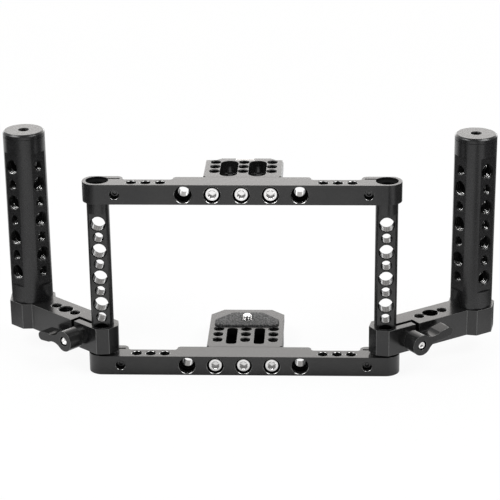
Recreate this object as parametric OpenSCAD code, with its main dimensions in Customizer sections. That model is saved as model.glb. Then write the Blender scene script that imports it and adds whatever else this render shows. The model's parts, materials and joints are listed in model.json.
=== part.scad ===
// Monitor cage: two clamp bars on two uprights, two monitor plates, two folding arms with upright grips.
// Millimetres. +X right, +Y away from the viewer, +Z up.
// The origin lies midway between the uprights' axes, on the underside of the bottom bar.

/* [Cage] */
// Distance between the axes of the two uprights
upright_spacing = 190.5; // [172:0.5:240]
// Height of the cage over both bars
cage_height = 135.6; // [126:0.2:180]
// Radial play between an upright and what clamps it
upright_play = 0.05; // [0.02:0.01:0.1]

/* [Uprights] */
// Diameter of an upright
upright_d = 15; // [13:0.5:17]
// Distance of an upright's lower end above the underside of the cage
upright_lift = 3.4; // [0.5:0.1:5]
// Distance of an upright's upper end below the top of the cage
upright_recess = 1.8; // [0.5:0.1:5]
// Thickness across an upright's two flats
flat_thickness = 10; // [9:0.1:11]
// Distance from each end of an upright to its flats
flat_margin = 19.8; // [17:0.1:24]
// Distance from the end of a flat to the nearest hole's centre, at least
flat_hole_edge = 7; // [6:0.5:9]
// Diameter of the hole in an upright's end
end_hole_d = 11.8; // [6:0.1:13]
// Depth of the hole in an upright's end
end_hole_depth = 14; // [8:0.5:16]
// Width of the rim round the countersunk hole in an upright's end
end_rim = 0.4; // [0.2:0.1:0.8]

/* [Bars] */
// Height of a bar
bar_height = 13.6; // [12.6:0.1:18]
// Wall between an upright and the front of a bar
front_wall = 2.5; // [2:0.1:4]
// Wall between an upright and the back of a clamp
rear_wall = 1.1; // [0.8:0.1:3]
// Depth of the middle part of a bar
spine_depth = 17.1; // [15.5:0.1:20]
// Width of the middle part of a bar
spine_width = 91; // [88:0.5:100]
// Depth of the slim part of a bar
waist_depth = 11.8; // [10.5:0.1:13]
// Radius in the corners of the slim part
waist_fillet = 2.2; // [1:0.1:4]
// Radius on the corners of a bar's middle part
waist_round = 2.6; // [0.5:0.1:3]
// Length of a clamp's finger from the upright's axis
finger_length = 16.6; // [15:0.1:19]
// Straight part between the two curves at a finger's end
finger_step = 0.4; // [0.2:0.1:1.5]
// Distance of a bar clamp's slit behind the slim part
slit_rise = 0.85; // [0.4:0.05:1.2]
// Width of a bar clamp's slit
slit_width = 1.5; // [0.8:0.1:2]
// Distance from the end of a bar clamp's slit to the finger's end
slit_web = 2; // [1:0.1:3]

/* [Threads] */
// Diameter of the small thread
small_thread_d = 6.35; // [5:0.05:7]
// Diameter of the large thread
large_thread_d = 9.525; // [8:0.025:10]
// Radial play of a screw in its thread
thread_play = 0.1; // [0.1:0.01:0.2]
// Chamfer at the mouth of a threaded hole or of a plate screw's seat
mouth_chamfer = 0.5; // [0.2:0.1:0.6]
// Distance between neighbouring threaded holes
hole_pitch = 9.525; // [9.4:0.025:11]
// Distance from the middle part of a bar to the first threaded hole
bar_hole_edge = 7.9; // [5:0.1:10]
// Distance from a bar's last threaded hole to its clamp, at least
bar_hole_end = 5; // [4:0.1:7]

/* [Plate screws] */
// Distance between neighbouring columns of holes
column_pitch = 19.05; // [18.6:0.05:20]
// Diameter of a plate screw's head
screw_head_d = 9.5; // [9:0.1:10]
// Height of a plate screw's head
screw_head_h = 6.35; // [5:0.05:7]
// Depth of the seat of a plate screw's head
screw_seat = 7.8; // [6.5:0.1:9]
// Radial play round a plate screw's head
screw_head_play = 0.85; // [0.3:0.05:1]
// Radial play round a plate screw's shank in the bar
screw_play = 0.33; // [0.1:0.01:0.5]
// Length of a plate screw inside the plate
screw_reach = 8; // [5:0.1:8.2]
// Width of the socket in a plate screw's head
screw_socket = 4.76; // [3:0.01:5.5]
// Depth of the socket in a plate screw's head
screw_socket_depth = 3.2; // [2:0.1:4.5]

/* [Clamp screws] */
// Diameter of a bar clamp's screw
clamp_screw_d = 3; // [2:0.1:4]
// Diameter of a bar clamp screw's head
clamp_head_d = 5.5; // [4.5:0.1:6]
// Height of a bar clamp screw's head
clamp_head_h = 3; // [2:0.1:3.5]
// Depth of the seat of a bar clamp screw's head
clamp_seat = 7; // [4:0.1:8]
// Radial play round a bar clamp screw's head
clamp_head_play = 0.35; // [0.2:0.05:0.6]
// Width of the socket in a bar clamp screw's head
clamp_socket = 2.5; // [1.5:0.1:3]
// Depth of the socket in a bar clamp screw's head
clamp_socket_depth = 1.6; // [1:0.1:1.8]

/* [Monitor plates] */
// Width of a plate
plate_width = 51.6; // [50:0.1:60]
// Depth of a plate's thick block
block_depth = 35.9; // [35.4:0.1:44]
// Depth of a plate's thin tongue
tongue_depth = 29.8; // [28:0.1:36]
// Thickness of the tongue
tongue_thickness = 5; // [4:0.1:6]
// Chamfer on the tongue's back corners
tongue_chamfer = 8.8; // [2:0.1:12]
// Size of the relief in a plate's front corners
plate_relief = 1.4; // [0.6:0.1:2]
// Distance from a plate's front to its first row of holes
row_first = 12.2; // [12:0.1:13]
// Width of a plate's slots
slot_width = 7.3; // [5:0.1:9]
// Length of a plate's slots
slot_length = 27.2; // [15:0.1:28]
// Distance from a plate's front to its slots
slot_front = 5.2; // [4:0.1:6]
// Radius in a slot's corners
slot_fillet = 1.6; // [0.5:0.1:2.4]
// Width of the pocket round a slot
pocket_width = 11.8; // [10:0.1:12]
// Length of the pocket round a slot
pocket_length = 32.2; // [30.4:0.1:33]
// Distance from a plate's front to its pockets
pocket_front = 1.8; // [1.2:0.1:2]
// Radius in a pocket's corners
pocket_fillet = 4.2; // [1:0.1:4.8]

/* [Pads and monitor screws] */
// Thickness of a rubber pad
pad_thickness = 1.3; // [1:0.1:4]
// Width of a pad
pad_width = 45; // [36:0.1:48]
// Width of a pad's back edge
pad_back_width = 21; // [14:0.1:26]
// Depth of a pad
pad_depth = 22.6; // [17:0.1:24]
// Depth of a pad's straight sides
pad_side_depth = 9.5; // [4:0.1:11]
// Radius of a pad's corners
pad_round = 3.2; // [0.5:0.1:3.5]
// Distance of a pad behind which the tongue's edge stays bare
pad_inset = 7.8; // [4:0.1:11]
// Distance of a monitor screw's axis from the tongue's back edge
stud_inset = 18.8; // [16:0.1:20]
// Diameter of a monitor screw's plain shoulder
shoulder_d = 7; // [7:0.1:9]
// Radial play of a monitor screw's shoulder in the tongue
stud_play = 0.08; // [0.05:0.01:0.1]
// Radial play of a monitor screw's shoulder in the pad
pad_play = 0.3; // [0.1:0.05:0.5]
// Length of a monitor screw above its pad
stud_reach = 3; // [2:0.1:8]
// Diameter of a monitor screw's head
stud_head_d = 13.6; // [10:0.1:14]
// Height of a monitor screw's head
stud_head_h = 5.6; // [3:0.1:7]
// Width of the coin slot in a monitor screw's head
coin_slot_width = 1.6; // [1:0.1:2.5]
// Depth of the coin slot in a monitor screw's head
coin_slot_depth = 2; // [1:0.1:2.5]

/* [Arms] */
// Height of an arm
arm_height = 18.3; // [16.6:0.1:22]
// Gap between an arm and the bottom bar
arm_gap = 1.5; // [0.4:0.1:8]
// Width of an arm and of its clamp end
arm_width = 20.8; // [20:0.1:26]
// Distance from the upright's axis to the handle's axis
arm_length = 72.7; // [68:0.1:95]
// Width of the seat under a handle
seat_width = 30.6; // [29:0.1:36]
// Angle that the left arm is folded back
left_sweep = 41.2; // [0:0.1:80]
// Angle that the right arm is folded back
right_sweep = 34.4; // [0:0.1:80]
// Distance from the upright's axis to an arm's first threaded hole
arm_hole_first = 28.4; // [27:0.1:30]
// Distance of an arm's slit in front of its middle
arm_slit_offset = 3.85; // [3.3:0.05:4.4]
// Width of an arm's slit
arm_slit_width = 3; // [1.5:0.1:3.6]
// Length of an arm's slit from the upright's axis
arm_slit_length = 19.2; // [18.5:0.1:21]
// Depth of the seat of a handle bolt's head under an arm
bolt_seat = 7; // [6.4:0.1:9]
// Length of a handle bolt inside the handle
bolt_reach = 9; // [6:0.1:10]

/* [Handles] */
// Diameter of a handle
handle_d = 28.4; // [26.5:0.1:30]
// Height of a handle with its cap
handle_height = 122; // [90:0.5:160]
// Diameter of the bore in a handle
handle_bore_d = 16; // [12:0.1:18]
// Thickness of the floor in a handle
handle_floor = 12; // [11:0.1:16]
// Depth of the flats cut into a handle
handle_flat_depth = 1.35; // [1.1:0.05:2]
// Distance from a handle's foot to its flats
flat_foot = 12.3; // [8:0.1:16]
// Distance from a handle's flats to its cap
flat_head = 10.1; // [8:0.1:16]
// Distance between neighbouring holes along a handle
handle_hole_pitch = 12.7; // [12:0.1:16]
// Distance from the end of a handle's flats to the nearest hole's centre, at least
handle_hole_edge = 9.8; // [7:0.1:12]
// Turn of the left handle on its arm
left_handle_turn = -3; // [-45:0.5:45]
// Turn of the right handle on its arm
right_handle_turn = 2.5; // [-45:0.5:45]
// Height of a handle's cap
cap_height = 3.6; // [2.5:0.1:6]
// Chamfer on a cap's rim
cap_chamfer = 1.2; // [0.2:0.1:1.6]
// Depth of the groove between a cap and its handle
cap_groove = 0.3; // [0.1:0.05:0.5]
// Length of a cap's plug inside the handle
plug_length = 6; // [4:0.1:8]
// Radial play of a cap's plug
plug_play = 0.05; // [0.02:0.01:0.1]

/* [Levers] */
// Distance from the upright's axis to a lever's axis
lever_offset = 12.8; // [11.5:0.1:13.4]
// Diameter of a lever's hub
lever_d = 14.4; // [14:0.1:15]
// Height of a lever's hub above its collar
lever_height = 10.9; // [10.6:0.1:14]
// Distance from a lever's axis to the tip of its wing
lever_length = 26; // [18:0.1:32]
// Thickness of a wing at its neck
wing_neck = 4.6; // [3.5:0.1:5]
// Place of the neck between the hub and the wing's tip
neck_place = 0.3; // [0.2:0.05:0.6]
// Thickness of a wing at its tip
wing_tip = 6.2; // [4:0.1:7]
// Depth of a wing along the lever's axis
wing_depth = 10.4; // [6:0.1:10.6]
// Angle that the left lever's wing is turned up
left_lever_turn = -6; // [-30:1:60]
// Angle that the right lever's wing is turned up
right_lever_turn = 12; // [-30:1:60]
// Height of the collar under a lever
collar_height = 3.4; // [2.5:0.1:4]
// Diameter of the collar under a lever
collar_d = 11.6; // [10.5:0.1:13.5]
// Diameter of a lever's threaded stud
lever_stud_d = 5; // [4:0.1:5.4]
// Length of a lever's stud past the arm's slit
lever_stud_reach = 8; // [4:0.1:9]
// Width of the squares that make a hub's twelve teeth
tooth_square = 6.4; // [6:0.1:6.8]
// Play between a hub's teeth and the lever's
tooth_play = 0.12; // [0.08:0.01:0.2]
// Height of the teeth
tooth_height = 1.6; // [1.2:0.1:1.8]
// Distance that a lever lifts to free its teeth
lever_lift = 1.8; // [1.7:0.1:2.2]
// Thickness of the wall inside a lever that its spring bears on
lever_web = 1.1; // [0.8:0.1:1.4]
// Diameter of the recess in a lever's face
recess_d = 6.8; // [6.2:0.1:7.4]
// Diameter of a lever screw
lever_screw_d = 3; // [2.5:0.1:3.2]
// Diameter of a lever screw's head
lever_head_d = 5.5; // [5:0.1:5.8]
// Height of a lever screw's head
lever_head_h = 2.2; // [1.8:0.1:2.6]
// Distance of a lever screw's head below the lever's face
lever_head_sink = 0.4; // [0.2:0.1:0.8]
// Width of the socket in a lever screw's head
lever_socket = 2.5; // [1.5:0.1:3]
// Depth of the socket in a lever screw's head
lever_socket_depth = 1.4; // [0.8:0.1:1.6]
// Diameter of a lever spring's wire
spring_wire = 0.4; // [0.3:0.05:0.5]
// Turns of a lever spring
spring_turns = 2.5; // [2:0.25:3]

/* [Hidden] */
$fn = 64;
sides = [-1, 1];
cut = 1;

// The bar's faces, measured from the uprights' axes
half_spacing = upright_spacing / 2;
clamp_r = upright_d / 2 + front_wall;
bar_front = clamp_r;
clamp_back = upright_d / 2 + rear_wall;
spine_back = spine_depth - bar_front;
waist_back = waist_depth - bar_front;
bar_top_z = cage_height - bar_height;
upright_bore_d = upright_d + 2 * upright_play;
slit_y = waist_back + slit_rise;
waist_end = half_spacing - finger_length;
waist_length = waist_end - spine_width / 2;
finger_round = clamp_back - waist_back - waist_fillet - finger_step;
bar_hole_count = floor((waist_length - bar_hole_edge - bar_hole_end) / hole_pitch) + 1;
front_columns = 2;
clamp_screw_x = half_spacing - (upright_d / 2 + finger_length) / 2;
clamp_screw_tip = clamp_back - mouth_chamfer;

// The uprights' holes run up and down from the middle, large and small in turn
upright_length = cage_height - upright_lift - upright_recess;
flat_length = upright_length - 2 * flat_margin;
end_countersink = (upright_d - end_hole_d) / 2 - end_rim;
upright_half_count = floor((flat_length / 2 - flat_hole_edge) / hole_pitch);

// The plates start at the back of a bar's middle part
plate_depth = block_depth + tongue_depth;
tongue_z = bar_height - tongue_thickness;
plate_rows = 3;
plate_columns = 1;
slot_x = column_pitch / 2;
stud_y = plate_depth - stud_inset;
pad_back = plate_depth - pad_inset;
screw_spare = 0.5;
screw_seat_r = screw_head_d / 2 + screw_head_play;

// The arms sit a little above the bottom bar
arm_z = bar_height + arm_gap;
arm_hole_count = 3;
arm_slit_front = -arm_slit_offset + arm_slit_width / 2;
bolt_spare = 1;

// The handle's parts, measured from the arm's top
body_height = handle_height - cap_height;
handle_flat_length = body_height - flat_foot - flat_head;
handle_flat_r = handle_d / 2 - handle_flat_depth;
handle_hole_count = floor((handle_flat_length - 2 * handle_hole_edge) / handle_hole_pitch) + 1;
handle_hole_first = flat_foot + (handle_flat_length - (handle_hole_count - 1) * handle_hole_pitch) / 2;

// The lever's inside, measured from the arm's front along the lever's axis
lever_face = collar_height + lever_height;
tooth_top = collar_height + tooth_height;
tooth_gap = 0.2;
cavity_r = tooth_square / sqrt(2) + 2 * tooth_play;
boss_r = tooth_square / 2 - 2 * tooth_play;
boss_top = tooth_top + lever_lift;
web_bottom = boss_top + 2 * tooth_gap;
web_top = web_bottom + lever_web;
lever_head_top = lever_face - lever_head_sink;
lever_head_seat = lever_head_top - lever_head_h;
stud_tip = -(arm_width / 2 + arm_slit_front + lever_stud_reach);
spring_r = (lever_screw_d + lever_head_d) / 4;
spring_gap = 0.05;
coil_steps = 14;
coil_sides = 6;

black = "#2b2b2e";
dark = "#3b3b3b";
steel = "silver";

// Places the children on the arm of one side, with X along the arm and -Y its front
module right_side() {
    translate([half_spacing, 0, arm_z])
        rotate([0, 0, right_sweep])
            children();
}

module left_side() {
    mirror([1, 0, 0])
        translate([half_spacing, 0, arm_z])
            rotate([0, 0, left_sweep])
                children();
}

// Turns the lower half of the cage over, for what is the same at the top
module upside_down() {
    translate([0, 0, cage_height])
        mirror([0, 0, 1])
            children();
}

// Places the children on a lever's axis, with Z out of the arm's front and X along the arm
module on_lever_axis(turn) {
    translate([lever_offset, -arm_width / 2, arm_height / 2])
        rotate([90, 0, 0])
            rotate([0, 0, turn])
                children();
}

// The piece between two edges of a square corner and the arc that rounds it
module corner_piece(r) {
    difference() {
        square(r);
        translate([r, r]) circle(r = r);
    }
}

module rounded_rectangle(size, r) {
    translate([r, 0]) square([size[0] - 2 * r, size[1]]);
    translate([0, r]) square([size[0], size[1] - 2 * r]);
    for (x = [r, size[0] - r])
        for (y = [r, size[1] - r])
            translate([x, y]) circle(r = r);
}

module octagon(width) {
    intersection() {
        square(width, center = true);
        rotate(45) square(width, center = true);
    }
}

// A threaded hole along Z through a given length, chamfered at both mouths
module through_thread(thread_d, length) {
    r = thread_d / 2 + thread_play;
    translate([0, 0, -cut]) cylinder(r = r, h = length + 2 * cut);
    for (end = [0, 1])
        translate([0, 0, end * length])
            mirror([0, 0, end])
                translate([0, 0, -mouth_chamfer])
                    cylinder(r1 = r + 2 * mouth_chamfer, r2 = r, h = 2 * mouth_chamfer);
}

// A socket head screw along Z with its head's underside at zero and the shank below
module cap_screw(shank_d, shank_length, head_d, head_h, socket, socket_depth) {
    difference() {
        union() {
            cylinder(d = head_d, h = head_h);
            translate([0, 0, -shank_length]) cylinder(d = shank_d, h = shank_length);
        }
        translate([0, 0, head_h - socket_depth])
            cylinder(d = socket / cos(30), h = socket_depth + cut, $fn = 6);
    }
}

module bar_outline() {
    difference() {
        union() {
            translate([-half_spacing, -bar_front]) square([upright_spacing, waist_depth]);
            translate([-spine_width / 2, -bar_front]) square([spine_width, spine_depth]);
            for (side = [0, 1])
                mirror([side, 0]) {
                    translate([waist_end, -bar_front]) square([finger_length, bar_front + clamp_back]);
                    translate([half_spacing, 0])
                        intersection() {
                            circle(r = clamp_r);
                            translate([0, -bar_front]) square([clamp_r, bar_front + clamp_back]);
                        }
                    translate([spine_width / 2, waist_back]) corner_piece(waist_fillet);
                    translate([waist_end, waist_back]) mirror([1, 0]) corner_piece(waist_fillet);
                }
        }
        for (side = [0, 1])
            mirror([side, 0]) {
                translate([spine_width / 2, spine_back]) rotate(180) corner_piece(waist_round);
                translate([waist_end, clamp_back]) mirror([0, 1]) corner_piece(finger_round);
            }
    }
}

// The chamfer round a plate screw's seat in a bar's front
module seat_mouth() {
    translate([0, -bar_front - mouth_chamfer, bar_height / 2])
        rotate([-90, 0, 0])
            cylinder(r1 = screw_seat_r + 2 * mouth_chamfer, r2 = screw_seat_r, h = 2 * mouth_chamfer);
}

// The seat for the head and the way for the shank of a screw that goes in from a bar's front
module front_screw_hole(head_r, seat, shank_r, length) {
    translate([0, -bar_front, bar_height / 2])
        rotate([-90, 0, 0]) {
            translate([0, 0, -cut]) cylinder(r = head_r, h = seat + cut);
            cylinder(r = shank_r, h = length + cut);
        }
}

module bar() {
    color(black)
        difference() {
            linear_extrude(bar_height) bar_outline();
            for (column = [-front_columns:front_columns])
                translate([column * column_pitch, 0, 0]) {
                    front_screw_hole(screw_seat_r, screw_seat, small_thread_d / 2 + screw_play, spine_depth);
                    seat_mouth();
                }
            for (side = sides) {
                translate([side * half_spacing, 0, -cut])
                    cylinder(d = upright_bore_d, h = bar_height + 2 * cut);
                translate([side * clamp_screw_x, 0, 0])
                    front_screw_hole(clamp_head_d / 2 + clamp_head_play, clamp_seat,
                                     clamp_screw_d / 2 + thread_play, bar_front + clamp_back);
                for (i = [0:bar_hole_count - 1])
                    translate([side * (spine_width / 2 + bar_hole_edge + i * hole_pitch),
                               (waist_back - bar_front) / 2, 0])
                        through_thread(small_thread_d, bar_height);
            }
            for (side = [0, 1])
                mirror([side, 0, 0])
                    translate([waist_end + slit_web, slit_y, -cut])
                        cube([finger_length - slit_web, slit_width, bar_height + 2 * cut]);
        }
}

module bottom_bar() {
    bar();
}

module top_bar() {
    translate([0, 0, bar_top_z]) bar();
}

// The hole in the lower end of an upright, from the end's face up
module end_hole() {
    translate([0, 0, -cut]) cylinder(d = end_hole_d, h = end_hole_depth + cut);
    translate([0, 0, -end_countersink])
        cylinder(d1 = end_hole_d + 4 * end_countersink, d2 = end_hole_d, h = 2 * end_countersink);
}

module upright() {
    color(black)
        difference() {
            translate([0, 0, upright_lift]) cylinder(d = upright_d, h = upright_length);
            for (side = [0, 1])
                mirror([0, side, 0])
                    translate([-upright_d / 2, flat_thickness / 2, upright_lift + flat_margin])
                        cube([upright_d, upright_d / 2, flat_length]);
            for (k = [-upright_half_count:upright_half_count])
                translate([0, flat_thickness / 2, upright_lift + upright_length / 2 + k * hole_pitch])
                    rotate([90, 0, 0])
                        through_thread(k % 2 == 0 ? large_thread_d : small_thread_d, flat_thickness);
            for (end = [0, 1])
                translate([0, 0, upright_lift + end * upright_length])
                    mirror([0, 0, end])
                        end_hole();
        }
}

module left_upright() {
    translate([-half_spacing, 0, 0]) upright();
}

module right_upright() {
    translate([half_spacing, 0, 0]) upright();
}

module plate_outline() {
    half = plate_width / 2;
    difference() {
        polygon([
            [-half, 0],
            [half, 0],
            [half, plate_depth - tongue_chamfer],
            [half - tongue_chamfer, plate_depth],
            [-half + tongue_chamfer, plate_depth],
            [-half, plate_depth - tongue_chamfer],
        ]);
        for (side = sides)
            translate([side * half, 0]) square(2 * plate_relief, center = true);
    }
}

module plate() {
    color(black)
        translate([0, spine_back, 0])
            difference() {
                linear_extrude(bar_height) plate_outline();
                translate([-plate_width, block_depth, -cut])
                    cube([2 * plate_width, tongue_depth + cut, tongue_z + cut]);
                for (column = [-plate_columns:plate_columns]) {
                    for (row = [0:plate_rows - 1])
                        translate([column * column_pitch, row_first + row * hole_pitch, 0])
                            through_thread(small_thread_d, bar_height);
                    translate([column * column_pitch, -cut, bar_height / 2])
                        rotate([-90, 0, 0])
                            cylinder(r = small_thread_d / 2 + thread_play,
                                     h = screw_reach + screw_spare + cut);
                }
                for (side = sides) {
                    translate([side * slot_x - slot_width / 2, slot_front, -cut])
                        linear_extrude(bar_height + 2 * cut)
                            rounded_rectangle([slot_width, slot_length], slot_fillet);
                    translate([side * slot_x - pocket_width / 2, pocket_front, -cut])
                        linear_extrude(tongue_z + cut)
                            rounded_rectangle([pocket_width, pocket_length], pocket_fillet);
                }
                translate([0, stud_y, 0])
                    cylinder(r = shoulder_d / 2 + stud_play, h = bar_height + cut);
            }
}

module bottom_plate() {
    plate();
}

module top_plate() {
    upside_down() plate();
}

module pad_outline() {
    half = pad_width / 2;
    back = pad_back_width / 2;
    offset(r = pad_round, $fn = 32)
        offset(delta = -pad_round)
            polygon([
                [-half, 0],
                [half, 0],
                [half, pad_side_depth],
                [back, pad_depth],
                [-back, pad_depth],
                [-half, pad_side_depth],
            ]);
}

module pad() {
    color(dark)
        translate([0, spine_back, bar_height])
            difference() {
                translate([0, pad_back - pad_depth, 0])
                    linear_extrude(pad_thickness) pad_outline();
                translate([0, stud_y, -cut])
                    cylinder(r = shoulder_d / 2 + pad_play, h = pad_thickness + 2 * cut);
            }
}

module bottom_pad() {
    pad();
}

module top_pad() {
    upside_down() pad();
}

module monitor_screw() {
    shoulder = tongue_thickness + pad_thickness;
    tip = shoulder + stud_reach;
    tip_d = small_thread_d - 2 * mouth_chamfer;
    color(steel)
        translate([0, spine_back + stud_y, tongue_z])
            difference() {
                union() {
                    translate([0, 0, -stud_head_h]) cylinder(d = stud_head_d, h = stud_head_h);
                    cylinder(d = shoulder_d, h = shoulder);
                    cylinder(d = small_thread_d, h = tip - mouth_chamfer);
                    translate([0, 0, tip - mouth_chamfer])
                        cylinder(d1 = small_thread_d, d2 = tip_d, h = mouth_chamfer);
                }
                translate([0, 0, -stud_head_h])
                    cube([stud_head_d + cut, coin_slot_width, 2 * coin_slot_depth], center = true);
            }
}

module bottom_monitor_screw() {
    monitor_screw();
}

module top_monitor_screw() {
    upside_down() monitor_screw();
}

module plate_screws() {
    color(steel)
        for (column = [-plate_columns:plate_columns])
            translate([column * column_pitch, screw_seat - bar_front, bar_height / 2])
                rotate([90, 0, 0])
                    cap_screw(small_thread_d, spine_depth - screw_seat + screw_reach,
                              screw_head_d, screw_head_h, screw_socket, screw_socket_depth);
}

module bottom_plate_screws() {
    plate_screws();
}

module top_plate_screws() {
    upside_down() plate_screws();
}

module clamp_screws() {
    color(dark)
        for (side = sides)
            translate([side * clamp_screw_x, clamp_seat - bar_front, bar_height / 2])
                rotate([90, 0, 0])
                    cap_screw(clamp_screw_d, bar_front + clamp_screw_tip - clamp_seat,
                              clamp_head_d, clamp_head_h, clamp_socket, clamp_socket_depth);
}

module bottom_clamp_screws() {
    clamp_screws();
}

module top_clamp_screws() {
    upside_down() clamp_screws();
}

module arm_outline() {
    octagon(arm_width);
    translate([0, -arm_width / 2]) square([arm_length, arm_width]);
    translate([arm_length, 0]) octagon(seat_width);
}

module arm() {
    color(black)
        difference() {
            linear_extrude(arm_height) arm_outline();
            translate([0, 0, -cut]) cylinder(d = upright_bore_d, h = arm_height + 2 * cut);
            translate([0, -arm_slit_offset - arm_slit_width / 2, -cut])
                cube([arm_slit_length + arm_slit_width / 2, arm_slit_width, arm_height + 2 * cut]);
            translate([arm_slit_length - arm_slit_width / 2, -arm_width / 2 - cut, -cut])
                cube([arm_slit_width, arm_width / 2 + cut - arm_slit_offset, arm_height + 2 * cut]);
            for (i = [0:arm_hole_count - 1])
                translate([arm_hole_first + i * hole_pitch, 0, 0])
                    through_thread(i % 2 == 0 ? small_thread_d : large_thread_d, arm_height);
            on_lever_axis(0)
                translate([0, 0, stud_tip - bolt_spare])
                    cylinder(r = lever_stud_d / 2 + thread_play, h = arm_width);
            translate([arm_length, 0, -cut]) {
                cylinder(r = screw_seat_r, h = bolt_seat + cut);
                cylinder(r = small_thread_d / 2 + screw_play, h = arm_height + 2 * cut);
            }
        }
}

module left_arm() {
    left_side() arm();
}

module right_arm() {
    right_side() arm();
}

module handle() {
    color(black)
        difference() {
            cylinder(d = handle_d, h = body_height);
            translate([0, 0, handle_floor]) cylinder(d = handle_bore_d, h = body_height);
            translate([0, 0, -cut])
                cylinder(r = small_thread_d / 2 + thread_play, h = bolt_reach + bolt_spare + cut);
            for (face = [0:3])
                rotate([0, 0, 90 * face])
                    translate([handle_flat_r, -handle_d / 2, flat_foot])
                        cube([handle_d, handle_d, handle_flat_length]);
            for (i = [0:handle_hole_count - 1])
                for (turn = [0, 1])
                    translate([0, 0, handle_hole_first + i * handle_hole_pitch])
                        rotate([90, 0, 90 * turn])
                            translate([0, 0, -handle_flat_r])
                                through_thread((handle_hole_count - 1 - i + turn) % 2 == 0
                                               ? large_thread_d : small_thread_d,
                                               2 * handle_flat_r);
        }
}

module on_handle_axis(turn) {
    translate([arm_length, 0, arm_height])
        rotate([0, 0, turn])
            children();
}

module left_handle() {
    left_side() on_handle_axis(left_handle_turn) handle();
}

module right_handle() {
    right_side() on_handle_axis(right_handle_turn) handle();
}

module handle_cap() {
    rim = handle_d / 2;
    hole = small_thread_d / 2 + thread_play;
    plug = handle_bore_d / 2 - plug_play;
    color(black)
        translate([0, 0, body_height])
            rotate_extrude()
                polygon([
                    [hole, -plug_length],
                    [plug, -plug_length],
                    [plug, 0],
                    [rim - cap_groove, 0],
                    [rim, cap_groove],
                    [rim, cap_height - cap_chamfer],
                    [rim - cap_chamfer, cap_height],
                    [hole + mouth_chamfer, cap_height],
                    [hole, cap_height - mouth_chamfer],
                ]);
}

module left_handle_cap() {
    left_side() on_handle_axis(left_handle_turn) handle_cap();
}

module right_handle_cap() {
    right_side() on_handle_axis(right_handle_turn) handle_cap();
}

module handle_bolt() {
    color(steel)
        translate([arm_length, 0, bolt_seat])
            mirror([0, 0, 1])
                cap_screw(small_thread_d, arm_height - bolt_seat + bolt_reach,
                          screw_head_d, screw_head_h, screw_socket, screw_socket_depth);
}

module left_handle_bolt() {
    left_side() handle_bolt();
}

module right_handle_bolt() {
    right_side() handle_bolt();
}

// Three squares, turned by a third of a right angle each, make twelve teeth
module toothed_outline(play) {
    for (i = [0:2])
        rotate(30 * i) square(tooth_square + 2 * play, center = true);
}

// The lever seen along its axis: a round hub, a waisted neck and a wing with a round tip
module lever_outline() {
    hub_r = lever_d / 2;
    tip_x = lever_length - wing_tip / 2;
    half_neck = wing_neck / 2;
    neck_x = hub_r + neck_place * (tip_x - hub_r);
    neck_r = (neck_x * neck_x + half_neck * half_neck - hub_r * hub_r) / (2 * (hub_r - half_neck));
    root = hub_r * (half_neck + neck_r) / (hub_r + neck_r);
    circle(r = hub_r);
    translate([tip_x, 0]) circle(d = wing_tip);
    difference() {
        translate([0, -root]) square([tip_x, 2 * root]);
        for (side = [0, 1])
            mirror([0, side])
                translate([neck_x, half_neck + neck_r]) circle(r = neck_r);
        for (side = [0, 1])
            mirror([0, side])
                translate([neck_x, wing_tip / 2]) square(lever_length);
    }
}

module lever() {
    color(black)
        difference() {
            union() {
                translate([0, 0, collar_height]) cylinder(d = lever_d, h = lever_height);
                translate([0, 0, lever_face - wing_depth]) linear_extrude(wing_depth) lever_outline();
            }
            translate([0, 0, collar_height - cut])
                linear_extrude(tooth_height + tooth_gap + cut) toothed_outline(tooth_play);
            translate([0, 0, tooth_top + tooth_gap])
                cylinder(r = cavity_r, h = web_bottom - tooth_top - tooth_gap);
            translate([0, 0, web_top]) cylinder(d = recess_d, h = lever_face);
            cylinder(r = lever_screw_d / 2 + thread_play, h = lever_face);
        }
}

module left_lever() {
    left_side() on_lever_axis(left_lever_turn) lever();
}

module right_lever() {
    right_side() on_lever_axis(right_lever_turn) lever();
}

// The threaded stud with its collar, its toothed hub and the boss for the lever screw
module lever_hub() {
    color(steel)
        difference() {
            union() {
                translate([0, 0, stud_tip]) cylinder(d = lever_stud_d, h = -stud_tip);
                cylinder(d = collar_d, h = collar_height);
                translate([0, 0, collar_height]) linear_extrude(tooth_height) toothed_outline(0);
                translate([0, 0, tooth_top]) cylinder(r = boss_r, h = lever_lift);
            }
            translate([0, 0, collar_height])
                cylinder(r = lever_screw_d / 2 + thread_play, h = lever_face);
        }
}

module left_lever_hub() {
    left_side() on_lever_axis(left_lever_turn) lever_hub();
}

module right_lever_hub() {
    right_side() on_lever_axis(right_lever_turn) lever_hub();
}

module lever_screw() {
    color(steel)
        translate([0, 0, lever_head_seat])
            cap_screw(lever_screw_d, lever_head_seat - collar_height - tooth_gap,
                      lever_head_d, lever_head_h, lever_socket, lever_socket_depth);
}

module left_lever_screw() {
    left_side() on_lever_axis(left_lever_turn) lever_screw();
}

module right_lever_screw() {
    right_side() on_lever_axis(right_lever_turn) lever_screw();
}

// A round wire swept along a helix, as one closed tube
module coil(r, wire, length, turns) {
    steps = round(turns * coil_steps);
    points = [
        for (i = [0:steps])
            for (k = [0:coil_sides - 1])
                let (around = 360 * turns * i / steps,
                     across = 360 * k / coil_sides,
                     reach = r + wire / 2 * cos(across))
                    [reach * cos(around), reach * sin(around), length * i / steps + wire / 2 * sin(across)]
    ];
    walls = [
        for (i = [0:steps - 1])
            for (k = [0:coil_sides - 1])
                let (here = i * coil_sides, next = here + coil_sides, k2 = (k + 1) % coil_sides)
                    each [[here + k, next + k, here + k2], [here + k2, next + k, next + k2]]
    ];
    last = steps * coil_sides;
    ends = [
        for (k = [1:coil_sides - 2])
            each [[0, k, k + 1], [last, last + k + 1, last + k]]
    ];
    polyhedron(points, concat(walls, ends));
}

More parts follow.
